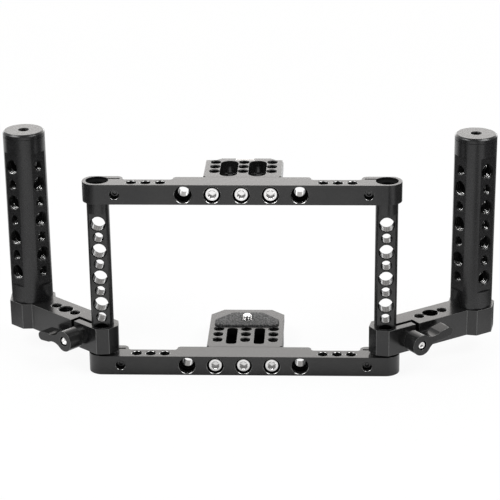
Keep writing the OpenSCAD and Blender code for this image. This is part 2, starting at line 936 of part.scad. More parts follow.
module lever_spring() {
    margin = spring_wire / 2 + spring_gap;
    color(steel)
        translate([0, 0, web_top + margin])
            coil(spring_r, spring_wire, lever_head_seat - web_top - 2 * margin, spring_turns);
}

module left_lever_spring() {
    left_side() on_lever_axis(left_lever_turn) lever_spring();
}

module right_lever_spring() {
    right_side() on_lever_axis(right_lever_turn) lever_spring();
}

bottom_bar();
top_bar();
left_upright();
right_upright();
bottom_plate();
top_plate();
bottom_pad();
top_pad();
bottom_plate_screws();
top_plate_screws();
bottom_clamp_screws();
top_clamp_screws();
bottom_monitor_screw();
top_monitor_screw();
left_arm();
right_arm();
left_handle();
right_handle();
left_handle_cap();
right_handle_cap();
left_handle_bolt();
right_handle_bolt();
left_lever();
right_lever();
left_lever_hub();
right_lever_hub();
left_lever_spring();
right_lever_spring();
left_lever_screw();
right_lever_screw();
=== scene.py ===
import json
import math

import bmesh
import bpy
from mathutils import Matrix, Vector

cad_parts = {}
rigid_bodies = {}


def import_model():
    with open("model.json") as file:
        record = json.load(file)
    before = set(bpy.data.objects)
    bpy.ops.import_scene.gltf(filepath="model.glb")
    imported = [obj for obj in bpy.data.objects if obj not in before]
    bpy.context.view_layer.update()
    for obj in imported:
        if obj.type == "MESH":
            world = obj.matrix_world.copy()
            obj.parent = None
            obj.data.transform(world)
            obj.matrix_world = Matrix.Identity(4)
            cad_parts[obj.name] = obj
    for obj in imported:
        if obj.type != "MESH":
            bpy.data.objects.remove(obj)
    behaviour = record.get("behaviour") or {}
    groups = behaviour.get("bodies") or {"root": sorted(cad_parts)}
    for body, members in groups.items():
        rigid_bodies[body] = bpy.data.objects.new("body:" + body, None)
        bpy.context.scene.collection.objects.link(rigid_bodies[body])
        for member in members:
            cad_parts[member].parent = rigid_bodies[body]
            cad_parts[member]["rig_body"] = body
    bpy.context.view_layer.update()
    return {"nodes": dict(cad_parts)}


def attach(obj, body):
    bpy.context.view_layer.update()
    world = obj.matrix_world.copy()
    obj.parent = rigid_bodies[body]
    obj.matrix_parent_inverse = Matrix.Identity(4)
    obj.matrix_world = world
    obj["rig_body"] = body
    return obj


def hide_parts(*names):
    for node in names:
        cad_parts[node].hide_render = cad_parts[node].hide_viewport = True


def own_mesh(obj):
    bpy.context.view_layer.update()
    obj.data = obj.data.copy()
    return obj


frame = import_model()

cadNodes = frame["nodes"]
scene = bpy.context.scene
scene.view_settings.view_transform = "Standard"
mm = 0.001
up, toFront = (0, 0, 1), (0, -1, 0)
print("frame loaded:", len(cadNodes), "nodes")

cameraLook = {
    "place": (0.05901, -1.18335, 0.53819),
    "yaw": -2.616,  # degrees, positive turns the view to the right
    "pitch": 20.855,  # degrees below the horizon
    "roll": -0.705,
    "lens": 137.49, "sensor": 36,  # mm
}


def addCamera(look):
    yaw, pitch, roll = (math.radians(look[key]) for key in ("yaw", "pitch", "roll"))
    sight = Vector((math.sin(yaw) * math.cos(pitch), math.cos(yaw) * math.cos(pitch), -math.sin(pitch)))
    right = Vector((math.cos(yaw), -math.sin(yaw), 0))
    above = right.cross(sight)
    across = math.cos(roll) * right + math.sin(roll) * above
    upright = -math.sin(roll) * right + math.cos(roll) * above
    data = bpy.data.cameras.new("camera")
    data.sensor_fit = "HORIZONTAL"
    data.sensor_width = look["sensor"]
    data.lens = look["lens"]
    camera = bpy.data.objects.new("camera", data)
    scene.collection.objects.link(camera)
    turn = Matrix((across, upright, -sight)).transposed()
    camera.matrix_world = Matrix.Translation(look["place"]) @ turn.to_4x4()
    scene.camera = camera


addCamera(cameraLook)
print("camera placed")


# finishes
def newFinish(name):
    finish = bpy.data.materials.new(name)
    finish.use_nodes = True
    tree = finish.node_tree
    return finish, tree, tree.nodes["Principled BSDF"]


def addNode(tree, kind, **settings):
    node = tree.nodes.new(kind)
    for key, value in settings.items():
        if key in node.inputs:
            node.inputs[key].default_value = value
        else:
            setattr(node, key, value)
    return node


def grain(tree, scale, detail=2.0, stretch=(1, 1, 1)):
    place = addNode(tree, "ShaderNodeTexCoord")
    drawn = addNode(tree, "ShaderNodeVectorMath", operation="MULTIPLY")
    drawn.inputs[1].default_value = stretch
    noise = addNode(tree, "ShaderNodeTexNoise", Scale=scale, Detail=detail)
    tree.links.new(place.outputs["Object"], drawn.inputs[0])
    tree.links.new(drawn.outputs[0], noise.inputs["Vector"])
    return noise.outputs["Fac"]


# a value between start and end becomes one between low and high
def spread(tree, value, low, high, start=0.3, end=0.7):
    limits = {"From Min": start, "From Max": end, "To Min": low, "To Max": high}
    node = addNode(tree, "ShaderNodeMapRange", **limits)
    tree.links.new(value, node.inputs["Value"])
    return node.outputs["Result"]


def tint(tree, value, dark, light, start=0.35, end=0.65):
    ramp = addNode(tree, "ShaderNodeValToRGB")
    for stop, position, colour in zip(ramp.color_ramp.elements, (start, end), (dark, light)):
        stop.position = position
        stop.color = (*colour, 1)
    tree.links.new(value, ramp.inputs["Fac"])
    return ramp.outputs["Color"]


def roughen(tree, value, surface, strength, depth):
    bump = addNode(tree, "ShaderNodeBump", Strength=strength, Distance=depth)
    tree.links.new(value, bump.inputs["Height"])
    tree.links.new(bump.outputs["Normal"], surface.inputs["Normal"])


# what the satin finishes share where a look says nothing else
satin = {"cloudDetail": 4, "stretch": (1, 1, 1), "bumpDepth": 0.0001, "metallic": 0.0}


def satinFinish(name, changes):
    look = {**satin, **changes}
    finish, tree, surface = newFinish(name)
    clouds = grain(tree, look["cloudScale"], look["cloudDetail"])
    tree.links.new(tint(tree, clouds, look["dark"], look["light"]), surface.inputs["Base Color"])
    blast = grain(tree, look["grainScale"], stretch=look["stretch"])
    tree.links.new(spread(tree, blast, *look["roughness"]), surface.inputs["Roughness"])
    roughen(tree, blast, surface, look["bump"], look["bumpDepth"])
    surface.inputs["Metallic"].default_value = look["metallic"]
    surface.inputs["IOR"].default_value = look["ior"]
    return finish


anodisedLook = {
    "dark": (0.009, 0.009, 0.0095), "light": (0.0145, 0.0143, 0.014), "cloudScale": 40, "grainScale": 2600,
    "stretch": (0.06, 1, 1), "roughness": (0.19, 0.25), "bump": 0.025, "ior": 1.54,
}
# painted highlight: the broken edges of the arms and levers get brighter, more reflective faces that stand
# in for edge highlights
edgeHighlightLook = {
    "dark": (0.02, 0.02, 0.02), "light": (0.05, 0.05, 0.048), "cloudScale": 120, "grainScale": 2600,
    "roughness": (0.22, 0.34), "bump": 0.05, "ior": 1.9,
}
# painted shade: near-black, dull faces inside holes, slits, slots, pockets and bores, and in the monitor
# screws' coin slots, where shade falls
recessShadeLook = {
    "dark": (0.003, 0.003, 0.003), "light": (0.005, 0.005, 0.005), "cloudScale": 90, "grainScale": 2600,
    "roughness": (0.6, 0.75), "bump": 0.1, "ior": 1.2,
}
wallLook = {
    "dark": (0.009, 0.009, 0.009), "light": (0.014, 0.014, 0.014), "cloudScale": 200, "grainScale": 3000,
    "roughness": (0.06, 0.12), "bump": 0.04, "ior": 1.55,
}
gripLook = {
    "dark": (0.009, 0.009, 0.0095), "light": (0.014, 0.014, 0.0145), "cloudScale": 55, "grainScale": 3000,
    "stretch": (1, 1, 0.3), "roughness": (0.2, 0.3), "bump": 0.06, "ior": 1.52,
}
leverLook = {
    "dark": (0.009, 0.009, 0.009), "light": (0.014, 0.014, 0.014), "cloudScale": 90, "grainScale": 2000,
    "roughness": (0.15, 0.21), "bump": 0.06, "ior": 1.42,
}
darkScrewLook = {
    "dark": (0.012, 0.012, 0.012), "light": (0.02, 0.02, 0.02), "cloudScale": 300, "grainScale": 4000,
    "roughness": (0.18, 0.28), "bump": 0.06, "ior": 1.8,
}
brightLook = {
    "dark": (0.84, 0.83, 0.82), "light": (0.95, 0.945, 0.94), "cloudScale": 500, "grainScale": 5000,
    "roughness": (0.1, 0.18), "bump": 0.03, "metallic": 1.0, "ior": 1.5,
}
threadLook = {
    "dark": (0.006, 0.006, 0.006), "light": (0.01, 0.01, 0.01), "cloudScale": 500, "grainScale": 5000,
    "roughness": (0.2, 0.3), "bump": 0.04, "ior": 1.3,
}
# painted highlight: bright metal on the thread flanks that face up in the grip holes, to catch glints
glintFlankLook = {
    "dark": (0.5, 0.5, 0.5), "light": (0.7, 0.7, 0.69), "cloudScale": 500, "grainScale": 5000,
    "roughness": (0.12, 0.2), "bump": 0.04, "metallic": 1.0, "ior": 1.5,
}
# painted highlight: metal-bright chamfers at the seats', clamp holes' and bar holes' mouths, there to catch
# glints
mouthGlintLook = {
    "dark": (0.4, 0.4, 0.4), "light": (0.52, 0.52, 0.51), "cloudScale": 300, "grainScale": 4000,
    "roughness": (0.22, 0.32), "bump": 0.04, "metallic": 1.0, "ior": 1.5,
}
padLook = {
    "dark": (0.02, 0.02, 0.02), "light": (0.17, 0.17, 0.17), "speckScale": 880, "speckDetail": 3,
    "speckRange": (0.42, 0.62), "crumbScale": 1400, "bump": 0.5, "bumpDepth": 0.0005, "roughness": 0.85,
}


def padFinish(name, look):
    finish, tree, surface = newFinish(name)
    specks = grain(tree, look["speckScale"], look["speckDetail"])
    colour = tint(tree, specks, look["dark"], look["light"], *look["speckRange"])
    tree.links.new(colour, surface.inputs["Base Color"])
    roughen(tree, grain(tree, look["crumbScale"]), surface, look["bump"], look["bumpDepth"])
    surface.inputs["Roughness"].default_value = look["roughness"]
    return finish


anodised = satinFinish("blackAnodised", anodisedLook)
edgeHighlight = satinFinish("edgeHighlight", edgeHighlightLook)
recessShade = satinFinish("recessShade", recessShadeLook)
holeWall = satinFinish("holeWall", wallLook)
grip = satinFinish("gripAnodised", gripLook)
leverCoat = satinFinish("leverCoat", leverLook)
darkScrew = satinFinish("darkScrew", darkScrewLook)
bright = satinFinish("brightSteel", brightLook)
threadCut = satinFinish("cutThread", threadLook)
glintFlank = satinFinish("paintedFlankGlint", glintFlankLook)
mouthGlint = satinFinish("mouthGlint", mouthGlintLook)
padRubber = padFinish("padRubber", padLook)
print("finishes made")


# the cage's measures, in mm, as the frame has them
cage = {
    "halfSpacing": 95.25, "top": 135.6, "barHeight": 13.6, "barFront": -10.0, "plateFront": 7.1,
    "columnPitch": 19.05, "holePitch": 9.525, "spineHalf": 45.5,
    "barHoleEdge": 7.9, "barHoles": 3, "barHoleY": -4.1, "rowFirst": 12.2, "rows": 3,
    "uprightHoleY": 4.5, "uprightHoleZ": 68.6, "uprightHoleDeep": 9, "uprightHolesPast": 4,
    "studY": 54.0, "tongueZ": 8.6, "clampX": 83.2, "screwSeat": 7.8, "clampSeat": 7.0,
}
sides = {
    "left": {"sign": -1, "sweep": 41.2, "handleTurn": -3.0},
    "right": {"sign": 1, "sweep": 34.4, "handleTurn": 2.5},
}
arm = {
    "low": 15.1, "high": 33.4, "width": 20.8, "length": 72.7, "holeFirst": 28.4, "holes": 3, "boltSeat": 7.0,
    "leverAt": 12.8, "leverScrewOut": 11.7, "capHoleUp": 112.4, "capHoleDeep": 9.1,
    "gripHoleFirst": 22.2, "gripHolePitch": 12.7, "gripHoles": 7, "gripHoleIn": 0.3,
    "gripFlat": 12.85, "gripBore": 8.0,
}


def along(side):
    sweep = math.radians(side["sweep"])
    return Vector((side["sign"] * math.cos(sweep), math.sin(sweep), 0))


def ahead(side):
    sweep = math.radians(side["sweep"])
    return Vector((side["sign"] * math.sin(sweep), -math.cos(sweep), 0))


def onArm(side, reach, front, z):
    foot = Vector((side["sign"] * cage["halfSpacing"], 0, z))
    return foot + reach * along(side) + front * ahead(side)


def onLever(side, front):
    return onArm(side, arm["leverAt"], front, (arm["low"] + arm["high"]) / 2)


# where the threaded holes start and which way they go
threads = {
    "small": {"Radius": 3.3, "Pitch": 1.27, "Ridge": 0.36},
    "large": {"Radius": 4.9, "Pitch": 1.5875, "Ridge": 0.45},
    "fineSmall": {"Radius": 3.3, "Pitch": 1.27, "Ridge": 0.1},
    "fineLarge": {"Radius": 4.89, "Pitch": 1.5875, "Ridge": 0.11},
    "steps": 18, "ridgeSides": 4, "mouth": 0.5, "flankUp": 0.45,
}


def barHoles(low):
    first, z = cage["spineHalf"] + cage["barHoleEdge"], low + threads["mouth"]
    spots = [first + i * cage["holePitch"] for i in range(cage["barHoles"])]
    return [(Vector((sign * x, cage["barHoleY"], z)), up) for x in spots for sign in (-1, 1)]


def plateHoles(low):
    first, z = cage["plateFront"] + cage["rowFirst"], low + threads["mouth"]
    return [(Vector((column * cage["columnPitch"], first + row * cage["holePitch"], z)), up)
            for column in (-1, 0, 1) for row in range(cage["rows"])]


# large and small holes take turns, with a large one at mid height
def uprightHoles(size):
    holes = []
    for k in range(-cage["uprightHolesPast"], cage["uprightHolesPast"] + 1):
        if (k % 2 == 0) == (size == "large"):
            z = cage["uprightHoleZ"] + k * cage["holePitch"]
            for sign in (-1, 1):
                holes.append((Vector((sign * cage["halfSpacing"], cage["uprightHoleY"], z)), toFront))
    return holes


def armHoles(side, size):
    z = arm["low"] + threads["mouth"]
    steps = [i for i in range(arm["holes"]) if (i == 1) == (size == "large")]  # the middle one is large
    return [(onArm(side, arm["holeFirst"] + i * cage["holePitch"], 0, z), up) for i in steps]


def gripHoles(side, size):
    holes = []
    start = arm["gripBore"] + arm["gripHoleIn"]
    for i in range(arm["gripHoles"]):
        z = arm["high"] + arm["gripHoleFirst"] + i * arm["gripHolePitch"]
        for quarter in range(4):
            if ((arm["gripHoles"] - i + quarter) % 2 == 0) == (size == "large"):
                turn = math.radians(90 * quarter + side["handleTurn"])
                outward = math.cos(turn) * along(side) - math.sin(turn) * ahead(side)
                holes.append((onArm(side, arm["length"], 0, z) + start * outward, outward))
    return holes


# what every piece needs
def newPiece(name, mesh):
    piece = bpy.data.objects.new(name, mesh)
    scene.collection.objects.link(piece)
    return piece


def meshOf(shape, name):
    mesh = bpy.data.meshes.new(name)
    shape.to_mesh(mesh)
    shape.free()
    return mesh


def plainMesh(piece, name):
    depsgraph = bpy.context.evaluated_depsgraph_get()
    mesh = bpy.data.meshes.new_from_object(piece.evaluated_get(depsgraph), depsgraph=depsgraph)
    mesh.name = name
    return mesh


# clearing the finishes sets every face back to the first, so the faces get theirs again
def setFinish(mesh, *finishes):
    kept = [face.material_index for face in mesh.polygons]
    mesh.materials.clear()
    for finish in finishes:
        mesh.materials.append(finish)
    for face, index in zip(mesh.polygons, kept):
        face.material_index = min(index, len(finishes) - 1)


def settle(piece, body):
    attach(piece, body)


def standFor(piece, node):
    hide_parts(node)
    settle(piece, cadNodes[node]["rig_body"])


def shadeByAngle(shape, degrees):
    for face in shape.faces:
        face.smooth = True
    for edge in shape.edges:
        edge.smooth = len(edge.link_faces) == 2 and edge.calc_face_angle() < math.radians(degrees)


def addPoint(shape, x, y, z):
    return shape.verts.new((x * mm, y * mm, z * mm))


# walls between rings of points
def bridge(shape, loops):
    count = len(loops[0])
    for low, high in zip(loops, loops[1:]):
        for i in range(count):
            j = (i + 1) % count
            shape.faces.new((low[i], low[j], high[j], high[i]))


# copies of the machined pieces, with broken edges; metres and degrees
copies = {"merge": 2e-6, "flat": 0.4, "edgeSharp": 32, "smoothSharp": 24, "handleSharp": 14}


def mergedCopy(node, flatten):
    shape = bmesh.new()
    shape.from_mesh(cadNodes[node].data)
    bmesh.ops.remove_doubles(shape, verts=shape.verts, dist=copies["merge"])
    if flatten:
        bmesh.ops.dissolve_limit(shape, angle_limit=math.radians(copies["flat"]),
                                 verts=shape.verts, edges=shape.edges)
    for face in shape.faces:
        face.material_index = 0
    return shape


# faces with a finish of their own: broken edges (a painted highlight on the arms and levers), insides
# darkened with painted shade, mouths painted bright as highlights, smooth walls and flares
faceKinds = {"edge": 1, "dark": 2, "mouth": 3, "wall": 4, "flare": 5}
bores = {"small": 3.275, "large": 4.8625, "spare": 0.6}
slopes = {"mouth": 0.85, "wall": 0.5}  # share of a face's normal that lies along the hole
pockets = {"middle": 9.525, "half": 6.0, "front": 8.8, "back": 41.3, "near": 0.03}
softCorners = (
    {"half": (3.65, 13.6), "middle": 25.9, "drawn": 1.6, "round": 2.6},
    {"half": (5.9, 16.1), "middle": 25.0, "drawn": 4.2, "round": 5.8},
)
seats = {
    "columns": 2, "radius": 5.75, "hole": 3.7, "mouth": 0.6, "rim": (0.4, 0.9),
    "clampRadius": 3.2, "clampChamfer": 0.4, "near": 0.02,
}
slits = {
    "barLow": 2.55, "barHigh": 4.25, "barFrom": 80.5, "armLow": 2.25, "armHigh": 5.45, "armFrom": -1,
    "armTo": 20.8, "crossFrom": 17.6, "crossTo": 10.2,
}
rods = {"endRadius": 7.2, "low": 23.0, "high": 114.0}


def markHoles(shape, holes, size, mouthKind, wallKind):
    for face in shape.faces:
        middle = face.calc_center_median() / mm
        for foot, axis in holes:
            way = Vector(axis)
            reach = middle - foot
            across = (reach - reach.dot(way) * way).length
            slope = abs(face.normal.dot(way))
            if across < bores[size] + bores["spare"] and slope < slopes["mouth"]:
                face.material_index = faceKinds[wallKind if slope < slopes["wall"] else mouthKind]


def markBar(shape):
    low = min(vert.co.z for vert in shape.verts) / mm
    rimFrom, rimTo = seats["rim"]
    for face in shape.faces:
        place, slope = face.calc_center_median() / mm, abs(face.normal.y)
        height = place.z - low - cage["barHeight"] / 2
        column = round(place.x / cage["columnPitch"])
        atSeat = abs(column) <= seats["columns"]
        fromSeat = math.hypot(place.x - column * cage["columnPitch"], height)
        fromClamp = math.hypot(abs(place.x) - cage["clampX"], height)
        inSlit = slits["barLow"] < place.y < slits["barHigh"] and abs(place.x) > slits["barFrom"]
        if place.y < cage["barFront"] + seats["mouth"]:
            if rimFrom < slope < rimTo:
                face.material_index = faceKinds["mouth"]
        elif atSeat and fromSeat < seats["hole"] and slope < slopes["wall"]:
            face.material_index = faceKinds["wall"]
        elif atSeat and fromSeat < seats["radius"] and place.y < cage["plateFront"]:
            face.material_index = faceKinds["dark"]
        elif fromClamp < seats["clampRadius"] and slope < slopes["wall"]:
            face.material_index = faceKinds["wall"]
        elif inSlit and abs(face.normal.z) < slopes["wall"]:
            face.material_index = faceKinds["dark"]


def chamferClamps(shape):
    low = min(vert.co.z for vert in shape.verts) / mm
    rims = []
    for edge in shape.edges:
        middle = (edge.verts[0].co + edge.verts[1].co) / 2 / mm
        fromClamp = math.hypot(abs(middle.x) - cage["clampX"], middle.z - low - cage["barHeight"] / 2)
        inFront = all(abs(vert.co.y / mm - cage["barFront"]) < seats["near"] for vert in edge.verts)
        if fromClamp < seats["clampRadius"] and inFront:
            rims.append(edge)
    bmesh.ops.bevel(shape, geom=rims, offset=seats["clampChamfer"] * mm, offset_type="OFFSET", segments=1,
                    profile=0.5, affect="EDGES", clamp_overlap=False)
    print("clamp rims chamfered:", len(rims))


# larger rounds in the corners of the plates' slots and pockets
def softenCorners(shape):
    for vert in shape.verts:
        place = vert.co / mm
        for cut in softCorners:
            aside, deep = abs(place.x) - pockets["middle"], place.y - cut["middle"]
            wide, length = (half - cut["drawn"] for half in cut["half"])
            over, past = abs(aside) - wide, abs(deep) - length
            offRound = abs(math.hypot(over, past) - cut["drawn"])
            if min(over, past) > -pockets["near"] and offRound < pockets["near"]:
                grown = cut["round"] / cut["drawn"]
                newX = cut["half"][0] - cut["round"] + over * grown
                newY = cut["half"][1] - cut["round"] + past * grown
                vert.co.x = math.copysign(pockets["middle"] + math.copysign(newX, aside), place.x) * mm
                vert.co.y = (cut["middle"] + math.copysign(newY, deep)) * mm


# pocket walls get painted shade on the bottom plate, smooth walls on the top one
def markPockets(shape, kind):
    for face in shape.faces:
        place = face.calc_center_median() / mm
        inWidth = abs(abs(place.x) - pockets["middle"]) < pockets["half"]
        inDepth = pockets["front"] < place.y < pockets["back"]
        if inWidth and inDepth and abs(face.normal.z) < slopes["wall"]:
            face.material_index = faceKinds[kind]


# rod ends inside the bars and arms get painted shade
def markRod(shape, sign):
    for face in shape.faces:
        place = face.calc_center_median() / mm
        across = math.hypot(place.x - sign * cage["halfSpacing"], place.y)
        if across < rods["endRadius"] and not rods["low"] < place.z < rods["high"]:
            face.material_index = faceKinds["dark"]


# the arms' slits get painted shade
def markSlit(shape, side):
    foot = onArm(side, 0, 0, 0)
    for face in shape.faces:
        place = face.calc_center_median() / mm - foot
        reach, front = place.dot(along(side)), place.dot(ahead(side))
        inSlit = slits["armFrom"] < reach < slits["armTo"] and slits["armLow"] < front < slits["armHigh"]
        inCross = slits["crossFrom"] < reach < slits["armTo"] and slits["armLow"] < front < slits["crossTo"]
        if abs(face.normal.z) < slopes["wall"] and (inSlit or inCross):
            face.material_index = faceKinds["dark"]


def markPiece(node, shape):
    word, kind = node.split("_")[0], node.split("_")[-1]
    side = sides.get(word)
    if kind == "bar":
        markBar(shape)
        markHoles(shape, barHoles(0), "small", "mouth", "dark")
    if kind == "plate":
        markPockets(shape, "dark" if word == "bottom" else "wall")
        markHoles(shape, plateHoles(0), "small", "flare", "dark")
    for size in ("small", "large"):
        if kind == "upright":
            markHoles(shape, uprightHoles(size), size, "dark", "wall")
        if kind == "arm":
            markHoles(shape, armHoles(side, size), size, "dark", "dark")
        if kind == "handle":
            markHoles(shape, gripHoles(side, size), size, "flare", "dark")
    if kind == "upright":
        markRod(shape, side["sign"])
    if kind == "arm":
        markSlit(shape, side)
    if kind == "lever":
        markHoles(shape, [(onLever(side, 0), ahead(side))], "small", "dark", "dark")
    if kind == "cap":
        markHoles(shape, [(onArm(side, arm["length"], 0, 0), up)], "small", "dark", "dark")


def finishAll(mesh, finish, edgeFinish):
    setFinish(mesh, finish, edgeFinish, recessShade, mouthGlint, holeWall, threadCut)


def smoothCopy(node, finish, slotName, sharp):
    shape = mergedCopy(node, False)
    markPiece(node, shape)
    shadeByAngle(shape, sharp)
    mesh = meshOf(shape, node + "Smooth")
    finishAll(mesh, finish, finish)
    standFor(newPiece(node + "_smooth", mesh), node)


def edgedCopy(node, finish, slotName, width, segments, edgeFinish):
    shape = mergedCopy(node, True)
    if node.endswith("_bar"):
        chamferClamps(shape)
    if node.endswith("_plate"):
        softenCorners(shape)
    markPiece(node, shape)
    for face in shape.faces:
        face.smooth = True
    mesh = meshOf(shape, node + "Merged")
    finishAll(mesh, finish, edgeFinish)
    piece = newPiece(node + "_edged", mesh)
    edge = piece.modifiers.new("edge", "BEVEL")
    edge.width = width * mm
    edge.segments = segments
    edge.limit_method = "ANGLE"
    edge.angle_limit = math.radians(copies["edgeSharp"])
    edge.use_clamp_overlap = False
    edge.material = faceKinds["edge"]
    even = piece.modifiers.new("even", "WEIGHTED_NORMAL")
    even.mode = "FACE_AREA"
    even.weight = 100
    even.keep_sharp = True
    finished = plainMesh(piece, node + "Finished")
    for used in (even, edge):
        piece.modifiers.remove(used)
    piece.data = finished
    bpy.data.meshes.remove(mesh)
    standFor(piece, node)


# finish and slot, then the broken edges' width in mm, steps and finish
edgePlan = {
    "bottom_bar": (anodised, "frame", 0.2, 2, anodised),
    "top_bar": (anodised, "frame", 0.2, 2, anodised),
    "bottom_plate": (anodised, "frame", 0.2, 2, anodised),
    "top_plate": (anodised, "frame", 0.2, 2, anodised),
    # the arms' and levers' broken edges take the painted edge highlight
    "left_arm": (anodised, "frame", 0.25, 2, edgeHighlight),
    "right_arm": (anodised, "frame", 0.25, 2, edgeHighlight),
    "left_handle_cap": (grip, "handle", 0.2, 3, grip),
    "right_handle_cap": (grip, "handle", 0.2, 3, grip),
    "left_lever": (leverCoat, "lever", 0.18, 2, edgeHighlight),
    "right_lever": (leverCoat, "lever", 0.18, 2, edgeHighlight),
}
for node, plan in edgePlan.items():
    edgedCopy(node, *plan)

smoothPlan = {
    "upright": (anodised, "frame", copies["smoothSharp"]),
    "handle": (grip, "handle", copies["handleSharp"]),
    "lever_hub": (darkScrew, "dark_screw", copies["smoothSharp"]),
}
for kind, plan in smoothPlan.items():
    for word in sides:
        smoothCopy(f"{word}_{kind}", *plan)
print("machined pieces finished")


# lever springs
spring = {"lift": 1.8, "sharp": 60}


def windSpring(node, look):
    shape = mergedCopy(node, False)
    shadeByAngle(shape, look["sharp"])
    mesh = meshOf(shape, node + "Wound")
    setFinish(mesh, bright)
    piece = newPiece(node + "_wound", mesh)
    standFor(piece, node)
    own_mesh(piece)


for word, side in sides.items():
    windSpring(word + "_lever_spring", spring)
print("springs wound")


# thread ridges in the holes
def addSocket(tree, name, kind, inOut="INPUT"):
    tree.interface.new_socket(name=name, in_out=inOut, socket_type="NodeSocket" + kind)


def startTree(name, inputs):
    tree = bpy.data.node_groups.new(name, "GeometryNodeTree")
    addSocket(tree, "Geometry", "Geometry")
    for label, kind in inputs.items():
        addSocket(tree, label, kind)
    addSocket(tree, "Geometry", "Geometry", "OUTPUT")
    return tree, tree.nodes.new("NodeGroupInput"), tree.nodes.new("NodeGroupOutput")


def finishTree(tree, instances, start, end):
    whole = addNode(tree, "GeometryNodeRealizeInstances")
    tree.links.new(instances, whole.inputs["Geometry"])
    coat = addNode(tree, "GeometryNodeSetMaterial")
    tree.links.new(whole.outputs["Geometry"], coat.inputs["Geometry"])
    tree.links.new(start.outputs["Finish"], coat.inputs["Material"])
    tree.links.new(coat.outputs["Geometry"], end.inputs["Geometry"])


# a helix on every point, along the point's axis
def threadTree():
    tree, start, end = startTree("threadRidge", {
        "Radius": "Float", "Pitch": "Float", "Turns": "Float", "Ridge": "Float", "Steps": "Int",
        "Finish": "Material",
    })
    link = tree.links.new
    height = addNode(tree, "ShaderNodeMath", operation="MULTIPLY")
    link(start.outputs["Pitch"], height.inputs[0])
    link(start.outputs["Turns"], height.inputs[1])
    helix = addNode(tree, "GeometryNodeCurveSpiral")
    link(start.outputs["Steps"], helix.inputs["Resolution"])
    link(start.outputs["Turns"], helix.inputs["Rotations"])
    link(start.outputs["Radius"], helix.inputs["Start Radius"])
    link(start.outputs["Radius"], helix.inputs["End Radius"])
    link(height.outputs[0], helix.inputs["Height"])
    upright = addNode(tree, "GeometryNodeSetCurveNormal", mode="Z_UP")
    link(helix.outputs["Curve"], upright.inputs["Curve"])
    profile = addNode(tree, "GeometryNodeCurvePrimitiveCircle", Resolution=threads["ridgeSides"])
    link(start.outputs["Ridge"], profile.inputs["Radius"])
    ridge = addNode(tree, "GeometryNodeCurveToMesh")
    ridge.inputs["Fill Caps"].default_value = True
    link(upright.outputs["Curve"], ridge.inputs["Curve"])
    link(profile.outputs["Curve"], ridge.inputs["Profile Curve"])
    axis = addNode(tree, "GeometryNodeInputNamedAttribute", data_type="FLOAT_VECTOR", Name="axis")
    turn = addNode(tree, "FunctionNodeAlignRotationToVector", axis="Z")
    link(axis.outputs["Attribute"], turn.inputs["Vector"])
    place = addNode(tree, "GeometryNodeInstanceOnPoints")
    link(start.outputs["Geometry"], place.inputs["Points"])
    link(ridge.outputs["Mesh"], place.inputs["Instance"])
    link(turn.outputs["Rotation"], place.inputs["Rotation"])
    finishTree(tree, place.outputs["Instances"], start, end)
    return tree


def grow(name, mesh, tree, values):
    piece = newPiece(name, mesh)
    maker = piece.modifiers.new(tree.name, "NODES")
    maker.node_group = tree
    for item in tree.interface.items_tree:
        if item.in_out == "INPUT" and item.name in values:
            maker[item.identifier] = values[item.name]
    finished = plainMesh(piece, name)
    piece.modifiers.remove(maker)
    bpy.data.objects.remove(piece)
    bpy.data.meshes.remove(mesh)
    return finished


def joinMeshes(name, meshes):
    shape = bmesh.new()
    for mesh in meshes:
        shape.from_mesh(mesh)
    return meshOf(shape, name)


ridgeTree = threadTree()


def holePoints(name, holes):
    mesh = bpy.data.meshes.new(name)
    mesh.from_pydata([place * mm for place, axis in holes], [], [])
    axes = mesh.attributes.new("axis", "FLOAT_VECTOR", "POINT")
    for point, (place, axis) in zip(axes.data, holes):
        point.vector = axis
    return mesh


def ridges(name, size, length, holes):
    look = threads[size]
    values = {key: look[key] * mm for key in ("Radius", "Pitch", "Ridge")}
    values.update({"Turns": length / look["Pitch"], "Steps": threads["steps"], "Finish": threadCut})
    return grow(name, holePoints(name + "Points", holes), ridgeTree, values)


# flanks that face up are painted as bright metal in the glinting holes: painted glints where the lamps above
# catch them
def paintFlankGlints(mesh, glinting):
    for face in mesh.polygons:
        face.material_index = int(glinting and face.normal.z > threads["flankUp"])


barLength = cage["barHeight"] - 2 * threads["mouth"]
topLow = cage["top"] - cage["barHeight"]
gripLength = arm["gripFlat"] - threads["mouth"] - arm["gripBore"] - arm["gripHoleIn"]
armLength = arm["high"] - arm["low"] - 2 * threads["mouth"]

# size, length, holes and whether their up-facing flanks get painted glints
threadPlan = {
    "cage": [
        ("small", barLength, barHoles(0), False),
        ("small", barLength, plateHoles(0), False),
        ("fineSmall", cage["uprightHoleDeep"], uprightHoles("small"), False),
        ("fineLarge", cage["uprightHoleDeep"], uprightHoles("large"), False),
    ],
    "top_bar": [
        ("small", barLength, barHoles(topLow), False),
        ("small", barLength, plateHoles(topLow), False),
    ],
}
for word, side in sides.items():
    capHole = onArm(side, arm["length"], 0, arm["high"] + arm["capHoleUp"])
    threadPlan[word + "_arm"] = [
        ("small", armLength, armHoles(side, "small"), False),
        ("large", armLength, armHoles(side, "large"), False),
        ("small", gripLength, gripHoles(side, "small"), True),
        ("large", gripLength, gripHoles(side, "large"), True),
        ("small", arm["capHoleDeep"], [(capHole, up)], False),
    ]
for body, groups in threadPlan.items():
    meshes = []
    for i, (size, length, holes, glinting) in enumerate(groups):
        mesh = ridges(f"{body}Ridges{i}", size, length, holes)
        paintFlankGlints(mesh, glinting)
        meshes.append(mesh)
    joined = joinMeshes(body + "Threads", meshes)
    setFinish(joined, threadCut, glintFlank)
    settle(newPiece(body + "_threads", joined), body)
print("threads cut")


# screws with a knurled head and a hex socket, in rows
lathe = {"segments": 48, "sharp": 30}


